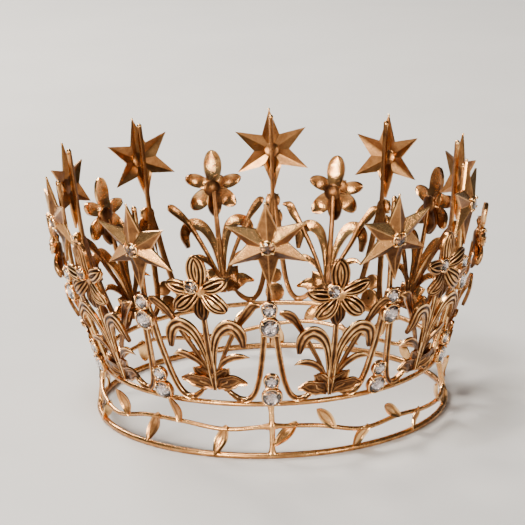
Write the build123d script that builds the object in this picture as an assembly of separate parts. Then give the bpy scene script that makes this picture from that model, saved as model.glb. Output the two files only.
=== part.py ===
from build123d import *
import os
from math import atan, cos, hypot, radians, sin, sqrt, tan

# A full-round bridal crown in soldered brass wire and small castings.
# Millimetres, +Z up. The origin is the middle of the lower ring, on the surface that it stands on.
# The front looks along -Y. An azimuth is in degrees from the front, growing towards +X.

# ---- rings and wires
BASE_RADIUS = 70.0        # centreline of the lower ring
BASE_WIRE = 2.4
BASE_FLAT = 1.2           # width of the worn flat under the lower ring
UPPER_RADIUS = 67.4       # centreline of the upper ring
UPPER_HEIGHT = 21.0
UPPER_WIRE = 2.1
STRUT_WIRE = 2.2
VINE_WIRE = 1.8
STRUTS = {"front": 0.0, "right": 82.0, "back": 180.0, "left": 272.0}

# ---- flare of the openwork above the upper ring
LOWER_SLOPE = 0.33        # outward run per unit of height, below the bend
UPPER_SLOPE = 0.11        # the same above it
BEND_HEIGHT = 58.0
BEND_RADIUS = 140.0
PANEL_TOP = 112.0
PANEL_BOTTOM = 19.0

# ---- repeats round the ring
REPEATS = 10
PITCH = 360.0 / REPEATS

# ---- star posts: a stem that forks into two legs
POST_DEPTH = 1.8
LEG_LINE = ((0.9, 64), (1.5, 59), (2.15, 53.5), (2.7, 47), (3.5, 40), (4.4, 33.5), (5.4, 29),
            (6.9, 25.2), (9.2, 23.1), (12.2, 23.2), (15.0, 25.0), (17.6, 27.6))
LEG_WIDTHS = (1.6, 2.2, 2.5, 2.4, 2.3, 2.2, 2.2, 2.2, 2.1, 2.0, 1.8, 1.0)
STEM_WIDTH = 1.7
STEM_FOOT = 55.0
SPUR_LENGTH = 7.5
SPUR_WIDTH = 2.2
STEM_BALL = 2.3
STEM_DROP = 3.5           # the stem ends this far below the tip of the star's top ray
STAR_HEIGHT = 85.0        # middle of a star on a standard post

# ---- how each post was set by hand: turn in degrees, outward lean in degrees, lift of the star
POST_SETTING = ((0.5, 0.0, 4.2), (-1.1, 0.0, 1.6), (-0.6, -2.3, 2.0), (0.8, -1.5, -0.7),
                (-0.5, 0.4, -0.9), (-1.2, 0.0, -0.5), (2.6, 1.0, 1.2), (0.0, 0.0, 0.5),
                (-0.2, 0.2, 0.5), (0.6, 0.0, 0.2))
# ---- how each star was set on its post: roll in its own plane, tilt of its top ray outward, in degrees
STAR_SETTING = ((1.2, 11.0), (3.0, 9.0), (6.0, 0.0), (-5.0, 5.0), (-3.0, 6.0),
                (-2.5, 8.0), (-3.0, 7.0), (5.0, 6.0), (-1.3, 9.5), (0.7, 9.0))

# ---- six-rayed stars
STAR_RAYS = 6
STAR_RAY = 17.5
STAR_NOTCH = 7.6
STAR_SHEET = 0.8          # the pressed sheet's thickness, along the star's axis
STAR_RISE = 3.5           # height of the middle above the rim
STAR_STANDOFF = 1.4       # from the middle of the post to the middle of the star's rim
STAR_SEAT = 1.5           # height of the cup's foot above the rim's middle
SOLDER_GAP = 0.05         # between a star and its stem, and between a star and its cup

# ---- lilies: a plant casting with a flower casting soldered on its front
LILY_DEPTH = 1.2
STEM_LINE = ((0, 24.6), (0, 34), (0, 46), (0, 58), (0, 67))
STEM_WIDTHS = (1.6, 2.4, 2.0, 1.8, 1.6)
ARCH_LINE = ((0.8, 30), (1.4, 40), (3.6, 49), (7.4, 53.6), (11.3, 53.6), (13.6, 50.2), (13.4, 43.6))
ARCH_WIDTHS = (0.8, 1.6, 2.6, 3.4, 3.6, 2.8, 0.0)
LONG_LINE = ((0.8, 31), (5.2, 39.5), (9.6, 47.5), (13.4, 54), (17.0, 59), (20.4, 62.4))
LONG_WIDTHS = (0.8, 1.6, 2.0, 2.4, 2.6, 0.0)
SIDE_LINE = ((1.6, 33), (5.2, 37.2), (9.4, 39.6), (14.6, 39.2))
SIDE_WIDTHS = (1.2, 2.4, 2.4, 0.0)
BASE_LEAF = ((0.3, 24.8), (2.2, 30.5), (4.6, 34.6), (7.2, 32.6), (9.6, 31.9), (13.0, 28.6),
             (9.0, 27.6), (4.5, 27.2))
FLOWER_HEIGHT = 68.0
FLOWER_BOSS = 8.6
BOSS_DEPTH = 1.3
PETALS = ((95, 15.2, 7.5), (23, 12.6, 5.4), (318, 13.2, 6.2), (268, 13.0, 5.6), (222, 12.6, 6.2),
          (167, 13.0, 5.4))     # direction, reach from the middle, width
PETAL_THICKNESS = 1.0
PETAL_CROWN = 15.0        # radius of the ball that a petal is pressed over
PETAL_TILT = 14.0
LILY_GEM_SPOT = (-2.6, 2.0)    # the gem sits to one side of the flower's middle

# ---- how each lily was set by hand: turn in degrees, lift
LILY_SETTING = ((0.6, 0.0), (-1.0, 1.0), (0.6, -1.5), (0.0, 0.5), (-1.6, -0.8),
                (-1.6, 2.2), (0.0, -0.5), (0.8, -1.0), (-0.4, 0.0), (0.8, 3.4))

# ---- stones and cups: stone diameter, cup diameter, cup height
LARGE_STONE = (7.0, 8.2, 2.3)
SMALL_STONE = (5.3, 6.4, 1.9)
STAR_STONE = (5.3, 6.3, 2.0)
LILY_STONE = (4.8, 5.9, 1.9)
PRONGS = 4
PRONG_WIRE = 0.5
PRONG_RISE = 0.45
STONE_TABLE = 0.58        # table's share of the stone's diameter
STONE_CROWN = 0.14        # crown's height as a share of the diameter
STONE_GIRDLE = 0.04
STONE_PAVILION = 0.24
LARGE_HEIGHTS = {"upper": (56.0, POST_DEPTH / 2), "lower": (25.4, 0.35)}
SMALL_HEIGHTS = {"upper": (63.1, POST_DEPTH / 2), "lower": (32.3, 0.35)}

# ---- vine: its height above the table every VINE_STEP degrees, starting at the front
VINE_STEP = 15
VINE_HEIGHTS = (12.4, 11.6, 7.8, 8.8, 6.8, 6.0, 9.0, 12.2, 10.4, 7.6, 9.6, 12.4,
                11.0, 8.0, 8.6, 12.0, 11.4, 8.8, 10.6, 9.0, 7.8, 11.8, 12.4, 11.0)
LEAF_LENGTH = 11.6
LEAF_WIDTH = 5.0
LEAF_THICKNESS = 0.7
LEAF_STALK = 0.9
LEAF_FLARE = 16.0         # a leaf leans outward by this, so that it clears the rings
LEAF_CLEARANCE = 0.8      # least height of a hanging leaf's tip
# azimuth of each leaf's root and its lean from upright, in degrees
LEAVES_UP = ((20, -39), (45, -53), (70, -33), (90, -30), (116, -38), (141, -28), (168, -42),
             (194, -30), (219, -36), (246, -26), (268, -34), (306, -24), (329.5, -20))
LEAVES_DOWN = ((7.6, 49), (31.5, 43), (55, 36), (80, 30), (103, 36), (129, 28), (155, 42),
               (181, 30), (207, 38), (233, 28), (258, 36), (291, 26), (320.5, 22), (345.5, 23))


# ---------------------------------------------------------------- the flared surface
LOWER_LEAN = atan(LOWER_SLOPE)
UPPER_LEAN = atan(UPPER_SLOPE)
HALF_BEND = (LOWER_LEAN - UPPER_LEAN) / 2
BEND_REACH = BEND_RADIUS * tan(HALF_BEND)
CORNER_RADIUS = UPPER_RADIUS + LOWER_SLOPE * (BEND_HEIGHT - UPPER_HEIGHT)


def panel_radius(height):
    """Distance from the crown's axis to the middle of the openwork at a height."""
    start = BEND_HEIGHT - BEND_REACH * cos(LOWER_LEAN)
    end = BEND_HEIGHT + BEND_REACH * cos(UPPER_LEAN)
    if height <= start:
        return UPPER_RADIUS + LOWER_SLOPE * (height - UPPER_HEIGHT)
    if height >= end:
        return CORNER_RADIUS + UPPER_SLOPE * (height - BEND_HEIGHT)
    start_radius = CORNER_RADIUS - BEND_REACH * sin(LOWER_LEAN)
    centre_radius = start_radius - BEND_RADIUS * cos(LOWER_LEAN)
    centre_height = start + BEND_RADIUS * sin(LOWER_LEAN)
    return centre_radius + sqrt(BEND_RADIUS**2 - (height - centre_height) ** 2)


def panel_lean(height):
    """Angle of the openwork from upright at a height, in radians."""
    return atan(panel_radius(height + 0.5) - panel_radius(height - 0.5))


def panel_line(offset):
    """The openwork's section, moved outward by offset, as two straight runs and an arc."""
    middle_lean = (LOWER_LEAN + UPPER_LEAN) / 2
    reach = offset / cos(HALF_BEND)
    low = (UPPER_RADIUS + LOWER_SLOPE * (PANEL_BOTTOM - UPPER_HEIGHT), PANEL_BOTTOM)
    top = (CORNER_RADIUS + UPPER_SLOPE * (PANEL_TOP - BEND_HEIGHT), PANEL_TOP)
    return FilletPolyline(
        (low[0] + offset * cos(LOWER_LEAN), low[1] - offset * sin(LOWER_LEAN)),
        (CORNER_RADIUS + reach * cos(middle_lean), BEND_HEIGHT - reach * sin(middle_lean)),
        (top[0] + offset * cos(UPPER_LEAN), top[1] - offset * sin(UPPER_LEAN)),
        radius=BEND_RADIUS + offset,
    )


def shell(inner, outer):
    """The flared wall between two distances from the middle of the openwork."""
    inside = panel_line(inner)
    outside = panel_line(outer)
    outline = [inside, Line(inside @ 1, outside @ 1), outside, Line(outside @ 0, inside @ 0)]
    return revolve(Plane.XZ * make_face(outline), Axis.Z, 360)


def on_panel(outlines, wall):
    """Outlines drawn in width and height at the front, cut out of a flared wall."""
    flat = Sketch() + outlines
    block = extrude(Plane.XZ.offset(30) * flat, 80)
    return wall & block


def panel_plane(height, offset):
    """A plane on the front of the openwork: local Z points outward, local Y up the flare."""
    lean = panel_lean(height)
    out = Vector(0, -cos(lean), -sin(lean))
    foot = Vector(0, -panel_radius(height), height)
    return Plane(origin=foot + out * offset, x_dir=(1, 0, 0), z_dir=out)


def set_post(index):
    """Where a star post stands: turned to its azimuth and leaned out about the upper ring."""
    turn, lean, _ = POST_SETTING[index]
    foot = Pos(0, -UPPER_RADIUS, UPPER_HEIGHT)
    return Rot(0, 0, index * PITCH + turn) * foot * Rot(lean, 0, 0) * foot.inverse()


def set_lily(index):
    """Where a lily stands: turned to its azimuth and slid along the flare."""
    turn, lift = LILY_SETTING[index]
    lean = panel_lean(BEND_HEIGHT)
    slide = Pos(0, -lift * sin(lean), lift * cos(lean))
    return Rot(0, 0, (index + 0.5) * PITCH + turn) * slide


# ---------------------------------------------------------------- outlines
def ribbon(line, widths):
    """A strip of changing width along a curved line; a width of 0 makes a point."""
    left, right = [], []
    for i, (x, y) in enumerate(line):
        before = line[max(i - 1, 0)]
        after = line[min(i + 1, len(line) - 1)]
        run = hypot(after[0] - before[0], after[1] - before[1])
        side = ((before[1] - after[1]) / run, (after[0] - before[0]) / run)
        half = widths[i] / 2
        left.append((x + side[0] * half, y + side[1] * half))
        right.append((x - side[0] * half, y - side[1] * half))
    edges = [Spline(*left), Spline(*right)]
    for a, b, width in ((left[0], right[0], widths[0]), (left[-1], right[-1], widths[-1])):
        if width > 0:
            edges.append(Line(a, b))
    return make_face(edges)


def mirrored(line):
    return tuple((-x, y) for x, y in line)


def pointed_leaf(length, width):
    """A leaf or petal from the origin along +Y, between two arcs."""
    left = ThreePointArc((0, 0), (-width / 2, length / 2), (0, length))
    right = ThreePointArc((0, 0), (width / 2, length / 2), (0, length))
    return make_face([left, right])


# ---------------------------------------------------------------- rings, struts and vine
def make_ring(radius, wire, height):
    return Pos(0, 0, height) * Torus(radius, wire / 2)


BASE_HEIGHT = sqrt((BASE_WIRE / 2) ** 2 - (BASE_FLAT / 2) ** 2)


def make_base_ring():
    block = Box(3 * BASE_RADIUS, 3 * BASE_RADIUS, BASE_WIRE)
    return make_ring(BASE_RADIUS, BASE_WIRE, BASE_HEIGHT) - Pos(0, 0, -BASE_WIRE / 2) * block


def band_radius(height):
    """Distance from the axis to the line that joins the two rings."""
    share = (height - BASE_HEIGHT) / (UPPER_HEIGHT - BASE_HEIGHT)
    return BASE_RADIUS + share * (UPPER_RADIUS - BASE_RADIUS)


def band_point(azimuth, height):
    turn = radians(azimuth)
    return Vector(band_radius(height) * sin(turn), -band_radius(height) * cos(turn), height)


def make_strut(azimuth, rings):
    foot, head = band_point(azimuth, BASE_HEIGHT), band_point(azimuth, UPPER_HEIGHT)
    rod = extrude(Plane(origin=foot, z_dir=head - foot) * Circle(STRUT_WIRE / 2), (head - foot).length)
    return largest(rod - rings)


def vine_height(azimuth):
    place = (azimuth % 360) / VINE_STEP
    low = int(place)
    here, there = VINE_HEIGHTS[low], VINE_HEIGHTS[(low + 1) % len(VINE_HEIGHTS)]
    return here + (there - here) * (place - low)


def make_vine(start, end, struts):
    """One length of wavy wire between two struts, as straight runs and large arcs."""
    least_run = VINE_STEP / 3
    inner = [VINE_STEP * k for k in range(int(start // VINE_STEP), int(end // VINE_STEP) + 2)]
    inner = [a for a in inner if start + least_run < a < end - least_run]
    points = [band_point(a, vine_height(a)) for a in (start, *inner, end)]
    radii = []
    for before, here, after in zip(points, points[1:], points[2:]):
        run = min((here - before).length, (after - here).length)
        turn = radians((here - before).get_angle(after - here))
        radii.append(0.45 * run / tan(turn / 2))
    route = FilletPolyline(*points, radius=radii)
    wire = sweep(Plane(origin=route @ 0, z_dir=route % 0) * Circle(VINE_WIRE / 2), route)
    return largest(wire - struts)


def make_vine_leaf(azimuth, lean, upward, vines):
    """A flat pointed leaf that starts on the vine and leans outward and to one side."""
    root = band_point(azimuth, vine_height(azimuth))
    length = LEAF_LENGTH
    if not upward:
        fall = cos(radians(lean)) * cos(radians(LEAF_FLARE))
        length = min(length, (root.Z - LEAF_CLEARANCE) / fall - LEAF_STALK)
    turn, flare = radians(azimuth), radians(LEAF_FLARE if upward else -LEAF_FLARE)
    out = Vector(sin(turn) * cos(flare), -cos(turn) * cos(flare), -sin(flare))
    side = Vector(cos(turn), sin(turn), 0)
    plane = Plane(origin=root - out * (LEAF_THICKNESS / 2), x_dir=side, z_dir=out)
    blade = Pos(0, LEAF_STALK) * pointed_leaf(length, LEAF_WIDTH)
    stalk = Pos(0, LEAF_STALK) * Rectangle(LEAF_STALK, 2 * LEAF_STALK)
    leaf = Rot(0, 0, -lean if upward else 180 - lean) * (Sketch() + [blade, stalk])
    return largest(extrude(plane * leaf, LEAF_THICKNESS) - vines)


# ---------------------------------------------------------------- stars and posts
def make_star():
    """A pressed sheet with six ridged rays, hollow at the back, and a round hole for the cup."""
    step = 360 / STAR_RAYS
    rim = []
    for k in range(STAR_RAYS):
        for angle, reach in ((90 + step * k, STAR_RAY), (90 + step * (k + 0.5), STAR_NOTCH)):
            rim.append((reach * cos(radians(angle)), reach * sin(radians(angle))))
    half = STAR_SHEET / 2
    front, back = (0, 0, half + STAR_RISE), (0, 0, -half + STAR_RISE)
    faces = []
    for (ax, ay), (bx, by) in zip(rim, rim[1:] + rim[:1]):
        corners = ((ax, ay, half), (bx, by, half), (bx, by, -half), (ax, ay, -half))
        faces.append(Face(Wire.make_polygon([corners[0], corners[1], front])))
        faces.append(Face(Wire.make_polygon([corners[3], corners[2], back])))
        faces.append(Face(Wire.make_polygon(corners)))
    star = Solid(Shell(faces))
    if star.volume < 0:
        star = Solid(star.wrapped.Reversed())
    return star - Cylinder(STAR_STONE[1] / 2 + SOLDER_GAP, 4 * STAR_RISE)


def set_star(index):
    """A star's place on its post: rolled in its own plane, then tilted outward."""
    roll, tilt = STAR_SETTING[index]
    return Rot(tilt, 0, 0) * Rot(0, 0, roll)


def fit_star(star, index):
    """The tilted star, cut out where its lowest ray is soldered over the stem."""
    room = Box(STEM_WIDTH + 2 * SOLDER_GAP, 4 * STAR_RAY, POST_DEPTH + 2 * SOLDER_GAP)
    return largest(set_star(index) * copy_of(star) - Pos(0, 0, -STAR_STANDOFF) * room)


def make_post(star_height, wall, upper_ring):
    """The stem behind the star, its fork with the two legs, the spur and the ball on top."""
    legs = [ribbon(LEG_LINE, LEG_WIDTHS), ribbon(mirrored(LEG_LINE), LEG_WIDTHS)]
    tip = star_height + STAR_RAY - STEM_DROP
    stem = Pos(0, (STEM_FOOT + tip) / 2) * Rectangle(STEM_WIDTH, tip - STEM_FOOT)
    spur_top = LEG_LINE[1][1]
    spur_foot = LEG_LINE[2][1] - SPUR_LENGTH
    spur = make_face(Polyline((-SPUR_WIDTH / 2, spur_top), (SPUR_WIDTH / 2, spur_top),
                              (0, spur_foot), close=True))
    ball = Pos(0, -panel_radius(tip), tip + STEM_BALL / 4) * Sphere(STEM_BALL / 2)
    post = on_panel([*legs, stem, spur], wall) + ball
    return largest(post - upper_ring)


# ---------------------------------------------------------------- lilies
def make_plant(wall):
    """Stem, two arching leaves, two long leaves, two side leaves and two lobed leaves."""
    outlines = [ribbon(STEM_LINE, STEM_WIDTHS)]
    for line, widths in ((ARCH_LINE, ARCH_WIDTHS), (LONG_LINE, LONG_WIDTHS), (SIDE_LINE, SIDE_WIDTHS)):
        outlines += [ribbon(line, widths), ribbon(mirrored(line), widths)]
    for outline in (BASE_LEAF, mirrored(BASE_LEAF)):
        outlines.append(make_face(Polyline(*outline, close=True)))
    return on_panel(outlines, wall)


def make_flower():
    """Six crowned petals round a low boss; local Z points outward."""
    boss = Pos(0, 0, BOSS_DEPTH / 2) * Cylinder(FLOWER_BOSS / 2, BOSS_DEPTH)
    cap = Sphere(PETAL_CROWN) - Sphere(PETAL_CROWN - PETAL_THICKNESS)
    root = FLOWER_BOSS / 4
    flower = boss
    for angle, reach, width in PETALS:
        outline = extrude(Pos(0, 0, -PETAL_CROWN / 2) * pointed_leaf(reach - root, width), PETAL_CROWN)
        drop = PETAL_CROWN - PETAL_THICKNESS / 2
        pressed = Pos(0, (reach - root) / 2, -drop) * cap & outline
        raised = Pos(0, root, BOSS_DEPTH) * Rot(PETAL_TILT, 0, 0) * pressed
        flower += Rot(0, 0, angle - 90) * raised
    below = Pos(0, 0, -PETAL_CROWN) * Box(4 * PETAL_CROWN, 4 * PETAL_CROWN, 2 * PETAL_CROWN)
    above = Pos(*LILY_GEM_SPOT, BOSS_DEPTH + PETAL_CROWN / 2) * Cylinder(LILY_STONE[1] / 2, PETAL_CROWN)
    return largest(flower - below - above)


# ---------------------------------------------------------------- stones
def make_cup(stone, cup, height):
    """A round cup with a cone-shaped pocket for the stone's back, and four prong stubs."""
    pocket = height - (STONE_GIRDLE + STONE_PAVILION) * stone
    section = Polyline((0, 0), (cup / 2, 0), (cup / 2, height), (stone / 2, height),
                       (stone / 2, height - STONE_GIRDLE * stone), (0, pocket), close=True)
    solid = revolve(Plane.XZ * make_face(section), Axis.Z, 360)
    for k in range(PRONGS):
        wall_middle = (cup + stone) / 4
        stub = Cylinder(PRONG_WIRE / 2, 2 * PRONG_RISE)
        solid += Rot(0, 0, 45 + k * 360 / PRONGS) * Pos(wall_middle, 0, height) * stub
    return solid


def make_stone(stone, cup, height):
    """A round cut stone seated in its cup, as plain cones."""
    girdle = height - STONE_GIRDLE * stone
    section = Polyline((0, girdle - STONE_PAVILION * stone), (stone / 2, girdle), (stone / 2, height),
                       (STONE_TABLE * stone / 2, height + STONE_CROWN * stone),
                       (0, height + STONE_CROWN * stone), close=True)
    return revolve(Plane.XZ * make_face(section), Axis.Z, 360)


def placed(solid, places):
    return [place * copy_of(solid) for place in places]


# ---------------------------------------------------------------- helpers and output
def copy_of(shape):
    return Pos(0, 0, 0) * shape


def largest(shape):
    """The main solid of a cut, without slivers."""
    return max(shape.solids(), key=lambda solid: solid.volume)


def write(name, shape):
    export_step(shape, os.path.join("parts", f"{name}.step"))


def write_group(name, solids):
    write(name, Compound(children=[largest(solid) for solid in solids]))


def main():
    os.makedirs("parts", exist_ok=True)

    base_ring = make_base_ring()
    upper_ring = make_ring(UPPER_RADIUS, UPPER_WIRE, UPPER_HEIGHT)
    write("base_ring", base_ring)
    write("upper_ring", upper_ring)

    rings = [make_ring(BASE_RADIUS, BASE_WIRE, BASE_HEIGHT), upper_ring]
    struts = {name: make_strut(azimuth, rings) for name, azimuth in STRUTS.items()}
    for name, strut in struts.items():
        write(f"strut_{name}", strut)

    ends = sorted(STRUTS.values()) + [360.0]
    names = ("vine_front_right", "vine_back_right", "vine_back_left", "vine_front_left")
    vines = [make_vine(a, b, list(struts.values())) for a, b in zip(ends, ends[1:])]
    for name, vine in zip(names, vines):
        write(name, vine)
    write_group("vine_leaves_up", [make_vine_leaf(a, lean, True, vines) for a, lean in LEAVES_UP])
    write_group("vine_leaves_down", [make_vine_leaf(a, lean, False, vines) for a, lean in LEAVES_DOWN])

    post_wall = shell(-POST_DEPTH / 2, POST_DEPTH / 2)
    star = make_star()
    for index in range(REPEATS):
        star_height = STAR_HEIGHT + POST_SETTING[index][2]
        post = make_post(star_height, post_wall, upper_ring)
        write(f"star_post_{index + 1}", set_post(index) * post)
        seat = panel_plane(star_height, STAR_STANDOFF).location
        write(f"star_{index + 1}", set_post(index) * seat * fit_star(star, index))

    plant = make_plant(shell(POST_DEPTH / 2, POST_DEPTH / 2 + LILY_DEPTH))
    flower_seat = panel_plane(FLOWER_HEIGHT, POST_DEPTH / 2 + LILY_DEPTH).location
    flower = flower_seat * make_flower()
    for index in range(REPEATS):
        write(f"lily_plant_{index + 1}", set_lily(index) * copy_of(plant))
        write(f"lily_flower_{index + 1}", set_lily(index) * copy_of(flower))

    def post_places(heights):
        spots = [panel_plane(height, offset).location for height, offset in heights.values()]
        return [set_post(index) * spot for index in range(REPEATS) for spot in spots]

    star_places = []
    for index in range(REPEATS):
        height = STAR_HEIGHT + POST_SETTING[index][2]
        seat = panel_plane(height, STAR_STANDOFF).location
        star_places.append(set_post(index) * seat * set_star(index) * Pos(0, 0, STAR_SEAT))
    lily_spot = flower_seat * Pos(*LILY_GEM_SPOT, BOSS_DEPTH)
    lily_places = [set_lily(index) * lily_spot for index in range(REPEATS)]
    for name, sizes, places in (
        ("large_post", LARGE_STONE, post_places(LARGE_HEIGHTS)),
        ("small_post", SMALL_STONE, post_places(SMALL_HEIGHTS)),
        ("star", STAR_STONE, star_places),
        ("lily", LILY_STONE, lily_places),
    ):
        write_group(f"{name}_stones", placed(make_stone(*sizes), places))
        cups = placed(make_cup(*sizes), places)
        write_group(f"{name}_cups", [cup - upper_ring for cup in cups] if name == "large_post" else cups)


main()
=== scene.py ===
import math

import bmesh
import bpy
import numpy as np
from mathutils import Matrix, Vector


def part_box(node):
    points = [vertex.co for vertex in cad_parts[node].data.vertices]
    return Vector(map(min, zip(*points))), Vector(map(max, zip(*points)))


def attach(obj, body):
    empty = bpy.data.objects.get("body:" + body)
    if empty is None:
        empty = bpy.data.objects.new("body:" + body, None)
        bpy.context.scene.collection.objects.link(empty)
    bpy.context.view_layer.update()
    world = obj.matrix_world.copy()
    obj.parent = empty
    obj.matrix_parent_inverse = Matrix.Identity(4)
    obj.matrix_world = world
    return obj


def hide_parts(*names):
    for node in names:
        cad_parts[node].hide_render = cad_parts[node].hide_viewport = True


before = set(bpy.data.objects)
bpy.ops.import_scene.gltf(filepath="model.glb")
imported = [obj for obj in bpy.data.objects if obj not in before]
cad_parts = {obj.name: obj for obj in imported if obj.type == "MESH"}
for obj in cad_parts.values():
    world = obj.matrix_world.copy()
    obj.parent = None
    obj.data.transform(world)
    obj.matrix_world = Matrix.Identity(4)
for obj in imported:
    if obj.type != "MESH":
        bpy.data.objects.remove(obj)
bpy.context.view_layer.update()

# A soldered bridal crown: two wire rings, four struts and a leafy vine below, and ten star posts
# and ten lilies above. Shapes are worked out in millimetres and written in metres.
# An azimuth is in degrees from the front, -Y, growing towards +X.
# Panel coordinates are (width round the flare, height, distance out from the middle of the openwork).
MM = 0.001
REPEATS = 10
PITCH = 360 / REPEATS

# ---- the flare, as in the CAD model
LOWER_SLOPE = 0.33
UPPER_SLOPE = 0.11
BEND_HEIGHT = 58.0
BEND_RADIUS = 140.0

# ---- rings, struts and vine
BASE_WIRE = 2.4
UPPER_WIRE = 2.1
STRUT_WIRE = 2.2
VINE_WIRE = 1.8
STRUTS = {"front": 0.0, "right": 82.0, "back": 180.0, "left": 272.0}
VINES = ("vine_front_right", "vine_back_right", "vine_back_left", "vine_front_left")
VINE_STEP = 15
VINE_HEIGHTS = (12.4, 11.6, 7.8, 8.8, 6.8, 6.0, 9.0, 12.2, 10.4, 7.6, 9.6, 12.4,
                11.0, 8.0, 8.6, 12.0, 11.4, 8.8, 10.6, 9.0, 7.8, 11.8, 12.4, 11.0)
# azimuth of a leaf's root, its lean from upright and its twist about its own rib, in degrees
LEAVES_UP = ((20, -39, 10), (45, -53, 20), (70, -33, 35), (90, -30, 10), (116, -38, -15), (141, -28, 20),
             (168, -42, 0), (194, -30, 25), (219, -36, -10), (246, -26, 15), (268, -34, 40),
             (306, -24, 25), (329.5, -20, -12))
LEAVES_DOWN = ((7.6, 49, 25), (31.5, 43, -20), (55, 36, -25), (80, 30, 20), (103, 36, 10), (129, 28, -15),
               (155, 42, 20), (181, 30, -20), (207, 38, 5), (233, 28, 15), (258, 36, -25),
               (291, 26, 60), (320.5, 22, -5), (345.5, 23, 10))
LEAF_LENGTH = 11.6
LEAF_WIDTH = 5.2
LEAF_FLARE = 16.0

# ---- how each post, star and lily was set, as in the CAD model
# post: turn, outward lean and lift of its star; star: roll and tilt; lily: turn and lift
POST_SETTING = ((0.5, 0.0, 4.2), (-1.1, 0.0, 1.6), (-0.6, -2.3, 2.0), (0.8, -1.5, -0.7),
                (-0.5, 0.4, -0.9), (-1.2, 0.0, -0.5), (2.6, 1.0, 1.2), (0.0, 0.0, 0.5),
                (-0.2, 0.2, 0.5), (0.6, 0.0, 0.2))
STAR_SETTING = ((1.2, 11.0), (3.0, 9.0), (6.0, 0.0), (-5.0, 5.0), (-3.0, 6.0),
                (-2.5, 8.0), (-3.0, 7.0), (5.0, 6.0), (-1.3, 9.5), (0.7, 9.0))
LILY_SETTING = ((0.6, 0.0), (-1.0, 1.0), (0.6, -1.5), (0.0, 0.5), (-1.6, -0.8),
                (-1.6, 2.2), (0.0, -0.5), (0.8, -1.0), (-0.4, 0.0), (0.8, 3.4))

# ---- posts and stars
POST_DEPTH = 1.8
LEG_LINE = ((0.75, 64), (1.3, 59), (2.15, 53.5), (2.7, 47), (3.5, 40), (4.4, 33.5), (5.4, 29),
            (6.9, 25.2), (9.2, 23.1), (12.2, 23.2), (15.0, 25.0), (17.6, 27.6))
LEG_WIDTHS = (1.5, 2.1, 2.5, 2.4, 2.3, 2.2, 2.2, 2.2, 2.1, 2.0, 1.8, 0.9)
STEM_DROP = 3.5
STAR_HEIGHT = 85.0
STAR_RAYS = 6
STAR_RAY = 17.5
STAR_NOTCH = 7.6
STAR_SHEET = 0.8
STAR_RISE = 3.5
STAR_STANDOFF = 1.4
STAR_SEAT = 1.5
LEG_SAMPLES = 70
SPUR_SAMPLES = 16

# ---- lilies
FLOWER_BACK = 2.1
FLOWER_HEIGHT = 68.0
LILY_GEM_SPOT = (-2.6, 2.0)
LILY_SEAT = 1.6
# direction, reach, width, how far the petal arches forward, height of its tip
PETALS = ((95, 15.2, 7.8, 1.3, 1.6), (23, 12.6, 5.8, 1.5, 0.6), (318, 13.4, 7.2, 1.2, -0.2),
          (268, 13.0, 6.2, 0.2, -1.2), (222, 12.8, 7.0, 1.4, 0.0), (167, 13.0, 5.6, 1.5, 0.8))

# ---- stones and cups: stone diameter, cup diameter, cup height, prong radius
LARGE_STONE = (7.0, 8.2, 2.3, 0.38)
SMALL_STONE = (5.3, 6.4, 1.9, 0.36)
STAR_STONE = (5.3, 6.3, 2.0, 0.46)
LILY_STONE = (4.8, 5.9, 1.9, 0.34)
LARGE_HEIGHTS = ((56.0, POST_DEPTH / 2), (25.4, 0.35))
SMALL_HEIGHTS = ((63.1, POST_DEPTH / 2), (32.3, 0.35))

rng = np.random.default_rng(7)


# ---------------------------------------------------------------- the flared surface
LOWER_LEAN = math.atan(LOWER_SLOPE)
UPPER_LEAN = math.atan(UPPER_SLOPE)
BEND_REACH = BEND_RADIUS * math.tan((LOWER_LEAN - UPPER_LEAN) / 2)


def ring_size(node):
    """Centreline radius and height of a CAD ring, in millimetres, from its box."""
    low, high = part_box(node)
    wire = {"base_ring": BASE_WIRE, "upper_ring": UPPER_WIRE}[node]
    return (high.x - low.x) / 2 / MM - wire / 2, high.z / MM - wire / 2


BASE_RADIUS, BASE_HEIGHT = ring_size("base_ring")
UPPER_RADIUS, UPPER_HEIGHT = ring_size("upper_ring")
CORNER_RADIUS = UPPER_RADIUS + LOWER_SLOPE * (BEND_HEIGHT - UPPER_HEIGHT)


def panel_radius(height):
    """Distance from the axis to the middle of the openwork, for an array of heights."""
    height = np.asarray(height, float)
    start = BEND_HEIGHT - BEND_REACH * math.cos(LOWER_LEAN)
    end = BEND_HEIGHT + BEND_REACH * math.cos(UPPER_LEAN)
    centre_radius = CORNER_RADIUS - BEND_REACH * math.sin(LOWER_LEAN) - BEND_RADIUS * math.cos(LOWER_LEAN)
    centre_height = start + BEND_RADIUS * math.sin(LOWER_LEAN)
    inside = np.clip(height, start, end) - centre_height
    curve = centre_radius + np.sqrt(BEND_RADIUS**2 - inside**2)
    low = UPPER_RADIUS + LOWER_SLOPE * (height - UPPER_HEIGHT)
    high = CORNER_RADIUS + UPPER_SLOPE * (height - BEND_HEIGHT)
    return np.where(height <= start, low, np.where(height >= end, high, curve))


def panel_lean(height):
    return np.arctan(panel_radius(np.asarray(height) + 0.5) - panel_radius(np.asarray(height) - 0.5))


def on_panel(points):
    """Panel coordinates to the row frame, at the front."""
    points = np.asarray(points, float)
    width, height, out = points[:, 0], points[:, 1], points[:, 2]
    lean, radius = panel_lean(height), panel_radius(height)
    turn = width / radius
    reach = radius + out * np.cos(lean)
    return np.stack([reach * np.sin(turn), -reach * np.cos(turn), height - out * np.sin(lean)], 1)


def turn_about(axis, degrees):
    return Matrix.Rotation(math.radians(degrees), 4, axis)


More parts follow.
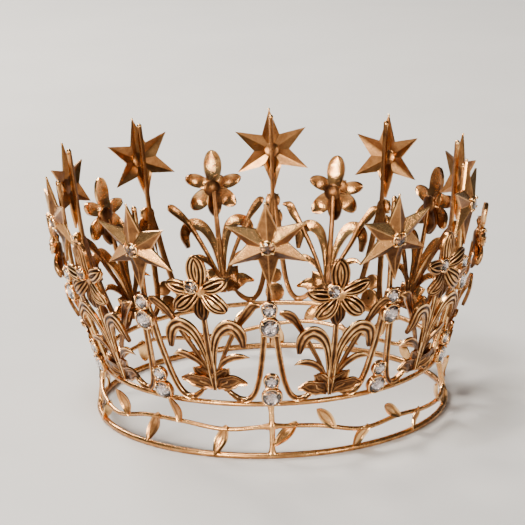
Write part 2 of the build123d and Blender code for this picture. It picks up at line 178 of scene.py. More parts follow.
def panel_matrix(height, out):
    """The frame of a flat piece on the front: local Z points outward, local Y up the flare."""
    lean, radius = float(panel_lean(height)), float(panel_radius(height))
    normal = Vector((0, -math.cos(lean), -math.sin(lean)))
    foot = Vector((0, -radius, height)) + normal * out
    turned = Matrix((Vector((1, 0, 0)), Vector((0, -math.sin(lean), math.cos(lean))), normal)).transposed()
    return Matrix.Translation(foot) @ turned.to_4x4()


def set_post(index):
    turn, lean, _ = POST_SETTING[index]
    foot = Matrix.Translation((0, -UPPER_RADIUS, UPPER_HEIGHT))
    return turn_about("Z", index * PITCH + turn) @ foot @ turn_about("X", lean) @ foot.inverted()


def set_lily(index):
    turn, lift = LILY_SETTING[index]
    lean = float(panel_lean(BEND_HEIGHT))
    slide = Matrix.Translation((0, -lift * math.sin(lean), lift * math.cos(lean)))
    return turn_about("Z", (index + 0.5) * PITCH + turn) @ slide


# ---------------------------------------------------------------- shapes
class Shape:
    """Closed meshes gathered into one piece: points in millimetres, faces, and wear and painted shading from
    0 to 1.
    """

    def __init__(self):
        self.points, self.faces, self.wear, self.count = [], [], [], 0

    def add(self, points, faces, wear, matrix=None):
        points = np.asarray(points, float)
        if matrix is not None:
            m = np.array(matrix)
            points = points @ m[:3, :3].T + m[:3, 3]
        self.points.append(points)
        self.faces += [tuple(i + self.count for i in face) for face in faces]
        self.wear.append(np.broadcast_to(np.asarray(wear, float), len(points)))
        self.count += len(points)
        return self

    def join(self, other, matrix=None):
        return self.add(np.concatenate(other.points), other.faces, np.concatenate(other.wear), matrix)

    def piece(self, name, material, smooth_angle=40.0):
        """A Blender object in metres, with outward faces and the wear and painted shading stored on its
        points.
        """
        mesh = bpy.data.meshes.new(name)
        points = np.concatenate(self.points) * MM
        mesh.from_pydata(points.tolist(), [], self.faces)
        wear = mesh.attributes.new("wear", "FLOAT", "POINT")
        wear.data.foreach_set("value", np.concatenate(self.wear).astype(np.float32))
        work = bmesh.new()
        work.from_mesh(mesh)
        bmesh.ops.recalc_face_normals(work, faces=work.faces)
        for face in work.faces:
            face.smooth = True
        limit = math.radians(smooth_angle)
        for edge in work.edges:
            edge.smooth = not edge.is_manifold or edge.calc_face_angle(0) < limit
        work.to_mesh(mesh)
        work.free()
        mesh.materials.append(material)
        piece = bpy.data.objects.new(name, mesh)
        bpy.context.scene.collection.objects.link(piece)
        return piece


def smooth_line(points, count):
    """count points along a Catmull-Rom curve through the given ones."""
    points = np.asarray(points, float)
    padded = np.vstack([2 * points[0] - points[1], points, 2 * points[-1] - points[-2]])
    place = np.linspace(0, len(points) - 1, count)
    low = np.minimum(place.astype(int), len(points) - 2)
    t = (place - low)[:, None]
    a, b, c, d = (padded[low + k] for k in range(4))
    return 0.5 * (2 * b + (c - a) * t + (2 * a - 5 * b + 4 * c - d) * t**2 + (3 * b - a - 3 * c + d) * t**3)


def path_frame(line, up, closed=False):
    """The sideways and outward directions along a line."""
    ahead = np.roll(line, -1, 0) - np.roll(line, 1, 0) if closed else np.gradient(line, axis=0)
    ahead /= np.linalg.norm(ahead, axis=1, keepdims=True)
    side = np.cross(ahead, np.broadcast_to(np.asarray(up, float), line.shape))
    side /= np.linalg.norm(side, axis=1, keepdims=True)
    return side, np.cross(side, ahead)


def tube_faces(count, size, closed=False):
    """Faces that join count rings of size points each, with both ends capped unless it is closed."""
    faces = []
    for i in range(count if closed else count - 1):
        here, there = i * size, (i + 1) % count * size
        for j in range(size):
            k = (j + 1) % size
            faces.append((here + j, here + k, there + k, there + j))
    if not closed:
        faces.append(tuple(range(size)))
        faces.append(tuple(range((count - 1) * size, count * size)))
    return faces


def sweep(line, widths, section, up=(0, 0, 1), depths=1.0, closed=False):
    """A section swept along a line. The section's columns are width, depth and wear."""
    line = np.asarray(line, float)
    count, size = len(line), len(section)
    widths = np.broadcast_to(np.asarray(widths, float), count)
    depths = np.broadcast_to(np.asarray(depths, float), count)
    side, over = path_frame(line, up, closed)
    across = section[:, 0][None, :, None] * widths[:, None, None] / 2
    raised = section[:, 1][None, :, None] * depths[:, None, None]
    points = line[:, None] + side[:, None] * across + over[:, None] * raised
    return points.reshape(-1, 3), tube_faces(count, size, closed), np.tile(section[:, 2], count)


def round_section(sides=14, wear=0.6):
    angle = np.linspace(0, 2 * np.pi, sides, endpoint=False)
    return np.stack([np.cos(angle), np.sin(angle) / 2, np.full(sides, wear)], 1)


def grooved_section(groove=0.24, depth=POST_DEPTH):
    """A bar with rounded edges and a shallow V groove down its front."""
    front = ((-1.0, -0.2, 0.6), (-1.0, 0.22, 0.85), (-0.9, 0.42, 1.0), (-0.74, 0.5, 1.0), (-0.55, 0.42, 0.7),
             (-0.3, 0.5 - groove * 0.75, 0.4), (0.0, 0.5 - groove, 0.26))
    back = ((1.0, -0.3, 0.6), (0.8, -0.47, 0.55), (0.3, -0.5, 0.5), (-0.3, -0.5, 0.5), (-0.8, -0.47, 0.55),
            (-1.0, -0.3, 0.6))
    mirrored = tuple((-a, b, w) for a, b, w in front[-2::-1])
    section = np.array(front + mirrored + back)
    section[:, 1] *= depth
    return section


class Relief:
    """The front of a cast blade: raised lines that repeat its outline, with a crown across it.

    The first line is at rim from the edge, and the others follow at the pitch. Past the last line the
    blade is plain, with the field's wear. With half, the lines keep the spacing of that half width.
    """

    def __init__(self, pitch, depth, crown, thickness, lines=9, field=0.45, samples=33, rim=0.25, half=None,
                 groove=0.1):
        self.pitch, self.depth, self.crown, self.thickness = pitch, depth, crown, thickness
        self.lines, self.field, self.samples, self.rim = lines, field, samples, rim
        self.half, self.groove = half, groove

    def front(self, across, halves):
        """Height and wear at each place across the blade, for each half width along it."""
        span = halves if self.half is None else np.full_like(halves, self.half)
        inset = (1 - np.abs(across))[None, :] * span[:, None]
        line = (0.5 + 0.5 * np.cos(2 * np.pi * (inset - self.rim) / self.pitch)) ** 0.5
        past = np.clip((inset - self.rim) / self.pitch - self.lines + 0.5, 0, 1)
        narrow = np.clip(halves / 0.9, 0, 1)[:, None]
        height = self.crown * (1 - across**2)[None, :] + self.depth * (line * (1 - past) + 0.35 * past)
        wear = (self.groove + (0.96 - self.groove) * line**1.6) * (1 - past) + self.field * past
        return height * narrow, wear * narrow + 0.7 * (1 - narrow)


BACK_SAMPLES = 9
# the plain backs of the blades: worn metal, painted lighter as painted light on the inner sides seen at the
# back of the crown
BACK_WEAR_AND_PAINTED_LIGHT = 0.86
LEAST_HALF_WIDTH = 0.05


def lined_blade(line, widths, relief, up=(0, 0, 1), shade=None):
    """A blade of changing width along a line, closed all round, with its relief on the front.

    The shade scales the wear along it; on the lowest lily petal it is painted shade.
    """
    line = np.asarray(line, float)
    count, across = len(line), np.linspace(-1, 1, relief.samples)
    back = np.linspace(1, -1, BACK_SAMPLES)
    halves = np.maximum(np.asarray(widths, float) / 2, LEAST_HALF_WIDTH)
    side, over = path_frame(line, up)
    height, wear = relief.front(across, halves)
    narrow = np.clip(halves, 0.12, 1)[:, None]
    under = (relief.crown * (1 - back**2)[None, :] - relief.thickness) * narrow
    shifts = np.concatenate([across, back])
    heights = np.concatenate([height, under], 1)
    wears = np.concatenate([wear, np.full((count, BACK_SAMPLES), BACK_WEAR_AND_PAINTED_LIGHT)], 1)
    if shade is not None:
        wears *= shade[:, None]
    points = (line[:, None] + side[:, None] * (shifts[None, :, None] * halves[:, None, None])
              + over[:, None] * heights[:, :, None])
    return points.reshape(-1, 3), tube_faces(count, len(shifts)), wears.ravel()


def lathe(profile, sides=40):
    """A closed profile of radius, height and wear turned about Z; radius 0 makes a pole."""
    angle = np.linspace(0, 2 * np.pi, sides, endpoint=False)
    points, wear, rings = [], [], []
    for radius, height, wear_and_shading_level in profile:
        start = len(points)
        if radius < 1e-6:
            points.append((0, 0, height))
            wear.append(wear_and_shading_level)
            rings.append([start])
        else:
            points += [(radius * math.cos(a), radius * math.sin(a), height) for a in angle]
            wear += [wear_and_shading_level] * sides
            rings.append(list(range(start, start + sides)))
    faces = []
    pairs = list(zip(rings, rings[1:]))
    if len(rings[0]) > 1:
        pairs.append((rings[-1], rings[0]))
    for a, b in pairs:
        for j in range(sides):
            k = (j + 1) % sides
            face = [a[j % len(a)], a[k % len(a)], b[k % len(b)], b[j % len(b)]]
            face = list(dict.fromkeys(face))
            if len(face) > 2:
                faces.append(tuple(face))
    return np.array(points), faces, np.array(wear)


def ball(radius, centre, wear=0.8, stretch=(1, 1, 1)):
    profile = [(radius * math.sin(a), radius * math.cos(a), wear) for a in np.linspace(0, math.pi, 11)]
    profile[0], profile[-1] = (0, radius, wear), (0, -radius, wear)
    points, faces, wear_and_shading_level = lathe(profile, 16)
    return points * np.asarray(stretch) + np.asarray(centre), faces, wear_and_shading_level


# ---------------------------------------------------------------- materials
def node(tree, kind, **values):
    made = tree.nodes.new(kind)
    for name, value in values.items():
        setattr(made, name, value)
    return made


def ramp(tree, source, stops):
    made = node(tree, "ShaderNodeValToRGB")
    elements = made.color_ramp.elements
    while len(elements) < len(stops):
        elements.new(0.5)
    for element, (place, colour) in zip(elements, stops):
        element.position = place
        element.color = (*colour, 1) if len(colour) == 3 else colour
    tree.links.new(source, made.inputs["Fac"])
    return made


def math_node(tree, operation, a, b):
    made = node(tree, "ShaderNodeMath", operation=operation)
    for socket, value in zip(made.inputs, (a, b)):
        if isinstance(value, (int, float)):
            socket.default_value = value
        else:
            tree.links.new(value, socket)
    return made.outputs[0]


def noise(tree, coordinates, scale, detail=3.0, roughness=0.55):
    made = node(tree, "ShaderNodeTexNoise")
    made.inputs["Scale"].default_value = scale
    made.inputs["Detail"].default_value = detail
    made.inputs["Roughness"].default_value = roughness
    tree.links.new(coordinates, made.inputs["Vector"])
    return made.outputs["Fac"]


def new_material(name):
    """A material with its node tree, its shader and the object coordinates."""
    material = bpy.data.materials.new(name)
    material.use_nodes = True
    tree = material.node_tree
    return material, tree, tree.nodes["Principled BSDF"], node(tree, "ShaderNodeTexCoord").outputs["Object"]


def tint(tree, shader, source, stops):
    """Colour the shader by a ramp on a source."""
    tree.links.new(ramp(tree, source, stops).outputs["Color"], shader.inputs["Base Color"])


PATCH_SCALE = 260.0
SPECK_SCALE = 1900.0
GRAIN_HEIGHT = 0.0002


def antique_brass(name, stops, rough=(0.46, 0.2), blotch=0.38, grain=0.3):
    """Brass whose colour and polish follow the wear and painted shading stored on the mesh, broken up by
    patina.
    """
    material, tree, shader, place = new_material(name)
    shader.inputs["Metallic"].default_value = 1.0
    wear = node(tree, "ShaderNodeAttribute", attribute_name="wear").outputs["Fac"]
    patches = noise(tree, place, PATCH_SCALE, 4.0)
    specks = noise(tree, place, SPECK_SCALE, 3.0, 0.7)
    shifted = math_node(tree, "MULTIPLY", math_node(tree, "SUBTRACT", patches, 0.5), blotch * 2)
    fine = math_node(tree, "MULTIPLY", math_node(tree, "SUBTRACT", specks, 0.5), blotch)
    level = math_node(tree, "ADD", math_node(tree, "ADD", wear, shifted), fine)
    tint(tree, shader, level, stops)
    polish = ramp(tree, level, ((0.0, (rough[0],) * 3), (0.9, (rough[1],) * 3)))
    tree.links.new(polish.outputs["Color"], shader.inputs["Roughness"])
    bump = node(tree, "ShaderNodeBump")
    bump.inputs["Strength"].default_value = grain
    bump.inputs["Distance"].default_value = GRAIN_HEIGHT
    relief = math_node(tree, "ADD", specks, math_node(tree, "MULTIPLY", patches, 2.0))
    tree.links.new(relief, bump.inputs["Height"])
    tree.links.new(bump.outputs["Normal"], shader.inputs["Normal"])
    return material


def cut_glass(name):
    """Clear glass with a faint warm tint that changes a little from stone to stone."""
    material, tree, shader, place = new_material(name)
    shader.inputs["Roughness"].default_value = 0.02
    shader.inputs["IOR"].default_value = 1.6
    shader.inputs["Transmission Weight"].default_value = 1.0
    tint(tree, shader, noise(tree, place, 60.0, 1.0), ((0.3, (0.93, 0.88, 0.87)), (0.7, (0.97, 0.95, 0.97))))
    return material


def foil(name):
    """The silvered back of a stone, seen through the glass."""
    material, tree, shader, place = new_material(name)
    shader.inputs["Metallic"].default_value = 1.0
    shader.inputs["Roughness"].default_value = 0.12
    mottle = noise(tree, place, 700.0, 2.0)
    tint(tree, shader, mottle, ((0.35, (0.55, 0.47, 0.46)), (0.65, (0.9, 0.86, 0.86))))
    return material


def pale_floor(name):
    material, tree, shader, place = new_material(name)
    shader.inputs["Roughness"].default_value = 0.9
    tint(tree, shader, noise(tree, place, 12.0, 2.0), ((0.3, (0.60, 0.60, 0.61)), (0.7, (0.63, 0.63, 0.64))))
    return material


PATINA = (0.014, 0.006, 0.003)
UMBER = (0.06, 0.025, 0.011)
OLD_GOLD = (0.25, 0.11, 0.04)
GOLD = (0.58, 0.29, 0.105)
PALE_GOLD = (1.0, 0.63, 0.28)

WIRE = antique_brass("wire_brass", ((0.0, UMBER), (0.36, OLD_GOLD), (0.66, GOLD), (1.0, PALE_GOLD)))
POST = antique_brass("post_brass", ((0.0, PATINA), (0.3, UMBER), (0.64, OLD_GOLD), (0.86, GOLD),
                                    (1.0, PALE_GOLD)))
STAR = antique_brass("star_brass", ((0.0, PATINA), (0.26, UMBER), (0.5, OLD_GOLD), (0.75, GOLD),
                                    (1.0, PALE_GOLD)), rough=(0.4, 0.24), blotch=0.22)
LILY = antique_brass("lily_brass", ((0.0, PATINA), (0.34, UMBER), (0.68, OLD_GOLD), (0.88, GOLD),
                                    (1.0, PALE_GOLD)))
LEAF = antique_brass("leaf_brass", ((0.0, UMBER), (0.42, OLD_GOLD), (0.72, GOLD), (1.0, PALE_GOLD)))
CUP = antique_brass("cup_brass", ((0.0, PATINA), (0.4, OLD_GOLD), (0.75, GOLD), (1.0, PALE_GOLD)),
                    rough=(0.4, 0.18))
GLASS = cut_glass("cut_glass")
FOIL = foil("foil_back")


def finish_piece(piece, slot, *nodes):
    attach(piece, "root")
    if nodes:
        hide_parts(*nodes)


# ---------------------------------------------------------------- rings, struts and vine
def waver(angles, amount, seed):
    """A small smooth unevenness round a ring, as hand-bent wire has."""
    draw = np.random.default_rng(seed)
    total = np.zeros_like(angles)
    for waves in (2, 3, 5, 9, 14):
        total += draw.uniform(-1, 1) / waves**0.5 * np.sin(waves * angles + draw.uniform(0, 6.3))
    return amount * total


def make_ring(radius, wire, height, seed):
    angles = np.linspace(0, 2 * np.pi, 360, endpoint=False)
    reach = radius + waver(angles, 0.12, seed)
    line = np.stack([reach * np.sin(angles), -reach * np.cos(angles),
                     height + waver(angles, 0.05, seed + 1)], 1)
    widths = wire * (1 + waver(angles, 0.012, seed + 2))
    shape = Shape()
    points, faces, wear = sweep(line, widths, round_section(18, 0.62), depths=widths, closed=True)
    points[:, 2] = np.maximum(points[:, 2], 0.0)
    return shape.add(points, faces, wear)


def band_radius(height):
    share = (height - BASE_HEIGHT) / (UPPER_HEIGHT - BASE_HEIGHT)
    return BASE_RADIUS + share * (UPPER_RADIUS - BASE_RADIUS)


def band_point(azimuth, height, out=0.0):
    turn = np.radians(azimuth)
    reach = band_radius(height) + out
    return np.stack([reach * np.sin(turn), -reach * np.cos(turn), height + 0 * turn], -1)


def vine_height(azimuth):
    """Height of the vine by azimuth, as a smooth closed curve through its stated heights."""
    heights = np.array(VINE_HEIGHTS)
    place = (np.asarray(azimuth, float) % 360) / VINE_STEP
    low = place.astype(int)
    t = place - low
    a, b, c, d = (heights[(low + k) % len(heights)] for k in (-1, 0, 1, 2))
    return 0.5 * (2 * b + (c - a) * t + (2 * a - 5 * b + 4 * c - d) * t**2 + (3 * b - a - 3 * c + d) * t**3)


def fillet(distance, spread, growth):
    """How much thicker a wire is near a soldered joint."""
    return 1 + growth * np.exp(-((distance / spread) ** 2))


def make_strut(azimuth, seed):
    draw = np.random.default_rng(seed)
    heights = np.linspace(BASE_HEIGHT, UPPER_HEIGHT, 60)
    bend = draw.uniform(-0.25, 0.25) * np.sin((heights - BASE_HEIGHT) / (UPPER_HEIGHT - BASE_HEIGHT) * np.pi)
    line = band_point(azimuth + bend, heights)
    joint = float(vine_height(azimuth))
    widths = STRUT_WIRE * fillet(heights - BASE_HEIGHT, 1.7, 0.95)
    widths *= fillet(UPPER_HEIGHT - heights, 1.4, 0.55) * fillet(heights - joint, 1.3, 0.5)
    widths *= 1 + 0.03 * np.sin(heights * 2.1 + seed)
    out = np.array([math.sin(math.radians(azimuth)), -math.cos(math.radians(azimuth)), 0])
    shape = Shape()
    thick = STRUT_WIRE * fillet(heights - joint, 1.3, 0.18)
    shape.add(*sweep(line, widths, round_section(18, 0.7), up=out, depths=thick))
    return shape


def make_vine(start, end, seed):
    azimuths = np.linspace(start, end, int((end - start) * 1.3))
    line = band_point(azimuths, vine_height(azimuths))
    line[:, 2] += waver(np.radians(azimuths), 0.12, seed)
    near = np.minimum(azimuths - start, end - azimuths) * np.pi / 180 * BASE_RADIUS
    widths = VINE_WIRE * fillet(near, 2.6, 0.75) * (1 + waver(np.radians(azimuths) * 3, 0.02, seed + 1))
    thick = VINE_WIRE * fillet(near, 2.6, 0.2)
    shape = Shape()
    shape.add(*sweep(line, thick, np.roll(round_section(16, 0.66), 4, 0), depths=widths))
    return shape


VINE_BLADE = Relief(2.0, 0.16, -0.4, 0.45, lines=1, field=0.6, samples=25, rim=0.15, groove=0.5)
LEAF_OVERLAP = 1.5
LEAF_SAMPLES = 26
TABLE_CLEARANCE = 0.35


def make_vine_leaf(azimuth, lean, twist, upward, seed):
    """A thin pointed leaf with a rolled edge; a hanging one starts a little above the vine."""
    draw = np.random.default_rng(seed)
    height = float(vine_height(azimuth))
    length = LEAF_LENGTH * draw.uniform(0.94, 1.04)
    if not upward:
        fall = math.cos(math.radians(lean)) * math.cos(math.radians(LEAF_FLARE))
        length = min(length, (height - TABLE_CLEARANCE) / fall)
    start = -0.4 if upward else -LEAF_OVERLAP
    s = np.linspace(0, 1, LEAF_SAMPLES)
    bow = draw.uniform(0.4, 0.9)
    reach = start + s * (length - start)
    clear = 1.15 * np.exp(-((reach / 2.4) ** 2))
    line = np.stack([bow * np.sin(s * np.pi) * 0.7, reach, clear - 0.3 * np.sin(s * np.pi)], 1)
    widths = LEAF_WIDTH * draw.uniform(0.86, 1.0) * np.sin(np.pi * (0.07 + 0.93 * s)) ** 0.85
    widths = np.maximum(widths, np.where(s < 0.1, 1.1, 0.15))
    shade = np.full(LEAF_SAMPLES, draw.uniform(0.75, 1.2))
    points, faces, wear = lined_blade(line, widths, VINE_BLADE, shade=shade)
    flare = LEAF_FLARE if upward else -LEAF_FLARE
    spin = -lean if upward else 180 - lean
    root = band_point(azimuth, height)
    place = Matrix.Translation(root) @ turn_about("Z", azimuth) @ turn_about("X", 90 + flare)
    return Shape().add(points, faces, wear, place @ turn_about("Z", spin) @ turn_about("Y", twist))


# ---------------------------------------------------------------- posts and stars
GROOVED = grooved_section()


def make_post(index):
    """Two grooved legs that meet behind the upper stones, a spur, and the stem up the star's back."""
    tip = STAR_HEIGHT + POST_SETTING[index][2] + STAR_RAY - STEM_DROP
    shape = Shape()
    widths = smooth_line(np.array(LEG_WIDTHS)[:, None], LEG_SAMPLES)[:, 0]
    for side in (-1, 1):
        legs = np.array([(side * u, h, 0.0) for u, h in LEG_LINE])
        legs[-3:, 2] -= (0.1, 0.2, 0.3)
        points, faces, wear = sweep(smooth_line(legs, LEG_SAMPLES), widths, GROOVED)
        shape.add(on_panel(points), faces, wear)
        foot = on_panel([(side * 10.4, 22.5, -0.1), (side * 17.3, 27.2, 0.1)])
        shape.add(*ball(1.0, foot[0], 0.75, (2.3, 1.0, 0.9)))
        shape.add(*ball(0.8, foot[1], 0.7, (1.5, 1.0, 1.0)))
    stem = smooth_line([(0, h, 0.0) for h in (54, 60, 66, 74, 82, 92, tip - 2, tip)], 60)
    stem_widths = np.interp(stem[:, 1], (54, 60, 65, tip - 4, tip), (1.2, 2.4, 1.8, 1.8, 1.4))
    points, faces, wear = sweep(stem, stem_widths, GROOVED)
    shape.add(on_panel(points), faces, wear)
    spur = smooth_line([(0, 58, 0.0), (0, 54, 0.1), (0, 50, 0.1), (0, 46, 0.0)], SPUR_SAMPLES)
    taper, thin = np.linspace(2.6, 0.15, SPUR_SAMPLES), np.linspace(1, 0.25, SPUR_SAMPLES)
    points, faces, wear = sweep(spur, taper, GROOVED, depths=thin)
    shape.add(on_panel(points), faces, wear)
    shape.add(*ball(1.15, on_panel([(0, tip, 0.1)])[0], 0.85, (1.0, 0.9, 1.2)))
    return Shape().join(shape, set_post(index))


HALF_STEP = math.pi / STAR_RAYS
TOP_RAY = 0
BOTTOM_RAY = STAR_RAYS // 2


def star_wear(ray, heading, across, along, at_rim, upper):
    """Facets that face up and the upper half of the star are painted lighter, and facets that face down
    darker, as painted light and shade; the top ray's left side is painted lighter than its right, and the
    lowest ray is painted darkest, as painted shade. The ridges and rim are worn brightest.
    """
    # painted light and shade: up-facing facets and the upper half lighter, down-facing facets and the lowest
    # ray darker
    facing_up = math.cos(heading) * (1 if across > 0 else -1)
    base = 0.56 + 0.24 * facing_up + (0.06 if upper else -0.06)
    if ray == TOP_RAY:
        base = 0.44 + 0.06 * np.sign(across)
    elif ray == BOTTOM_RAY:
        base = 0.3
    near_ridge = math.exp(-((across / 0.25) ** 2)) * min(1.0, along / 5)
    return base + (0.9 - base) * max(0.55 * near_ridge, 0.8 * at_rim)


def star_face(steps=10, rounding=0.12):
    """The star's pressed surface above its rim: a grid over each ray, with a ridge to its tip."""
    points, faces, wear = [], [], []
    notch = STAR_NOTCH * np.array([math.cos(HALF_STEP), math.sin(HALF_STEP)])
    tip = np.array([STAR_RAY, 0.0])
    fall = STAR_RISE / STAR_RAY
    slope = (STAR_RISE - fall * notch[0]) / notch[1]
    for k in range(STAR_RAYS):
        heading = math.radians(90 - 360 / STAR_RAYS * k)
        start = len(points)
        for i in range(steps + 1):
            for j in range(steps + 1):
                a, b = i / steps, j / steps
                flat = a * (1 - b) * notch + b * (1 - a) * notch * (1, -1) + a * b * tip
                ridge = math.hypot(flat[1], rounding) - rounding
                height = max(STAR_RISE - fall * flat[0] - slope * ridge, 0.0)
                x = flat[0] * math.cos(heading) - flat[1] * math.sin(heading)
                y = flat[0] * math.sin(heading) + flat[1] * math.cos(heading)
                points.append((x, y, height))
                at_rim = 1.0 if max(a, b) == 1 else 0.0
                # the wear of ridges and rim, with each facet's painted light and shade
                wear.append(star_wear(k, heading, flat[1], flat[0], at_rim, y > 0))
        for i in range(steps):
            for j in range(steps):
                p = start + i * (steps + 1) + j
                q, r, s = p + 1, p + steps + 1, p + steps + 2
                faces += [(p, r, s), (p, s, q)]
    return points, faces, wear


# the fold of a star's lowest ray: how far its back stands off the stem's middle line, its sheet, how far
# below the star's middle it starts, the run to its full height, its half width and the fade at its edge
STEM_CLEARANCE = 0.95
FOLD_SHEET = 0.9
FOLD_START = 4
FOLD_RUN = 6
FOLD_HALF_WIDTH = 6
FOLD_FADE = 2.2
JOIN_DISTANCE = 1e-4


def make_star(tilt):
    """A pressed sheet with six ridged rays, hollow at the back, whose lowest ray folds over the stem."""
    work = bmesh.new()
    layer = work.verts.layers.float.new("wear")
    points, faces, wear = star_face()
    lean = math.radians(tilt)
    for facing in (1, -1):
        made = []
        for (x, y, z), wear_and_shading_level in zip(points, wear):
            level = z + facing * STAR_SHEET / 2
            clear = STEM_CLEARANCE + (FOLD_SHEET if facing > 0 else 0)
            least = (clear - STAR_STANDOFF - y * math.sin(lean)) / math.cos(lean)
            share = min(max((-y - FOLD_START) / FOLD_RUN, 0), 1)
            share *= min(max((FOLD_HALF_WIDTH - abs(x)) / FOLD_FADE, 0), 1)
            level += share * max(least - level, 0)
            made.append(work.verts.new((x, y, level)))
            made[-1][layer] = wear_and_shading_level if facing > 0 else 0.6
        for face in faces:
            work.faces.new([made[i] for i in face])
    bmesh.ops.remove_doubles(work, verts=work.verts, dist=JOIN_DISTANCE)
    bmesh.ops.dissolve_degenerate(work, edges=work.edges, dist=JOIN_DISTANCE)
    bmesh.ops.bridge_loops(work, edges=[e for e in work.edges if e.is_boundary])
    work.verts.index_update()
    shape = Shape()
    shape.add([tuple(v.co) for v in work.verts], [tuple(v.index for v in f.verts) for f in work.faces],
              [v[layer] for v in work.verts])
    work.free()
    return shape.add(*ball(0.55, (0, STAR_RAY - 0.1, 0.1), 0.95, (0.9, 1.2, 0.9)))


def set_star(index):
    """A star's place: on its post, rolled in its own plane and tilted outward."""
    roll, tilt = STAR_SETTING[index]
    seat = panel_matrix(STAR_HEIGHT + POST_SETTING[index][2], STAR_STANDOFF)
    return set_post(index) @ seat @ turn_about("X", tilt) @ turn_about("Z", roll)


# ---------------------------------------------------------------- lilies
ARCHED = Relief(1.7, 0.42, 0.25, 0.8, samples=37, half=1.95, groove=0.16)
NARROW = Relief(1.6, 0.22, 0.25, 0.7, lines=1, field=0.55, samples=25, groove=0.3)
BROAD = Relief(1.4, 0.3, -0.5, 0.7, lines=1, field=0.42, samples=33, groove=0.34)
PETAL = Relief(1.5, 0.55, 0.55, 0.75, samples=51, groove=0.06)


def blade(shape, line, widths, relief, mirror=1, count=34, shade=(1.0, 1.0), wave=0.0):
    """A leaf of a lily in panel coordinates, through given points; the shade runs root to tip."""
    run = smooth_line(np.array([(mirror * u, h, n) for u, h, n in line]), count)
    wide = np.maximum(smooth_line(np.array(widths)[:, None], count)[:, 0], 0.1)
    s = np.linspace(0, 1, count)
    wide *= 1 + wave * np.sin(s * 15 + line[1][0])
    run[:, 2] += 2.5 * wave * np.sin(s * 11 + line[1][1])
    shape.add(*lined_blade(run, wide, relief, shade=np.interp(s, np.linspace(0, 1, len(shade)), shade)))


ARCH = ((0.7, 28, 1.3), (1.2, 37, 1.5), (2.6, 45.0, 2.0), (5.2, 50.8, 2.8), (8.6, 53.4, 3.5),
        (11.7, 52.7, 3.9), (13.5, 49.6, 3.8), (13.6, 44.2, 3.0))
ARCH_WIDTHS = (1.0, 1.9, 3.0, 4.2, 4.8, 4.6, 4.0, 1.6)
LONG = ((0.9, 30, 0.9), (5.2, 39.5, 0.9), (9.6, 47.5, 0.8), (13.2, 53.8, 0.9), (16.4, 58.4, 1.6),
        (19.2, 61.4, 2.6), (21.4, 62.2, 2.4))
LONG_WIDTHS = (1.0, 1.6, 1.9, 2.3, 3.4, 3.2, 1.1)
SIDE = ((1.5, 31.5, 1.2), (4.6, 36.6, 1.6), (8.4, 39.6, 2.2), (11.8, 40.3, 2.4), (15.0, 39.0, 2.0))
SIDE_WIDTHS = (0.9, 2.0, 2.5, 2.0, 0.15)
UPPER_LOBE = ((0.6, 25.4, 1.0), (2.4, 29.4, 1.6), (4.6, 32.4, 2.2), (7.2, 34.6, 2.2))
UPPER_LOBE_WIDTHS = (2.0, 5.8, 4.8, 0.4)
LOWER_LOBE = ((0.8, 25.0, 1.2), (4.4, 27.8, 2.0), (8.6, 29.4, 2.7), (13.0, 28.6, 2.4))
LOWER_LOBE_WIDTHS = (1.6, 6.2, 4.6, 1.0)
STEM = ((0, 24.4, 1.4), (0, 34, 1.5), (0, 46, 1.6), (0, 58, 1.8), (0, 66, 2.0))
STEM_WIDTHS = (1.4, 3.0, 2.3, 2.0, 1.8)


def bent(line, draw, amount):
    """A given line with each point after the root moved a little, more towards the tip."""
    moved = np.array(line, float)
    share = np.linspace(0, 1, len(moved))[:, None]
    return moved + share * draw.normal(0, amount, moved.shape)


def make_plant(index):
    draw = np.random.default_rng(100 + index)
    shape = Shape()
    run = smooth_line(STEM, 40)
    wide = smooth_line(np.array(STEM_WIDTHS)[:, None], 40)[:, 0]
    shape.add(*sweep(run, wide, grooved_section(0.28, 1.3)))
    for side in (-1, 1):
        blade(shape, bent(LONG, draw, 0.35), LONG_WIDTHS, NARROW, side, shade=(0.6, 0.8, 0.9))
        blade(shape, bent(ARCH, draw, 0.3), ARCH_WIDTHS, ARCHED, side, count=44, shade=(0.8, 1, 1, 1, 0.6))
        blade(shape, bent(SIDE, draw, 0.3), SIDE_WIDTHS, NARROW, side, shade=(0.6, 0.9, 1.1))
        blade(shape, bent(UPPER_LOBE, draw, 0.25), UPPER_LOBE_WIDTHS, BROAD, side, 30, (0.6, 0.9, 1), 0.09)
        blade(shape, bent(LOWER_LOBE, draw, 0.25), LOWER_LOBE_WIDTHS, BROAD, side, 34, (0.6, 0.9, 1), 0.09)
    return Shape().add(on_panel(np.concatenate(shape.points)), shape.faces, np.concatenate(shape.wear),
                       set_lily(index))


# the dome's radius, height and wear, from its underside to its top
FLOWER_DOME = ((0, -0.1, 0.5), (2.8, -0.1, 0.4), (3.6, 0.5, 0.45), (3.5, 1.2, 0.6), (2.7, 1.9, 0.75),
               (1.4, 2.4, 0.85), (0, 2.5, 0.85))
DOME_SHIFT = (0.7, -0.6, 0)
LOWEST_PETAL = 268
PETAL_START = 1.2


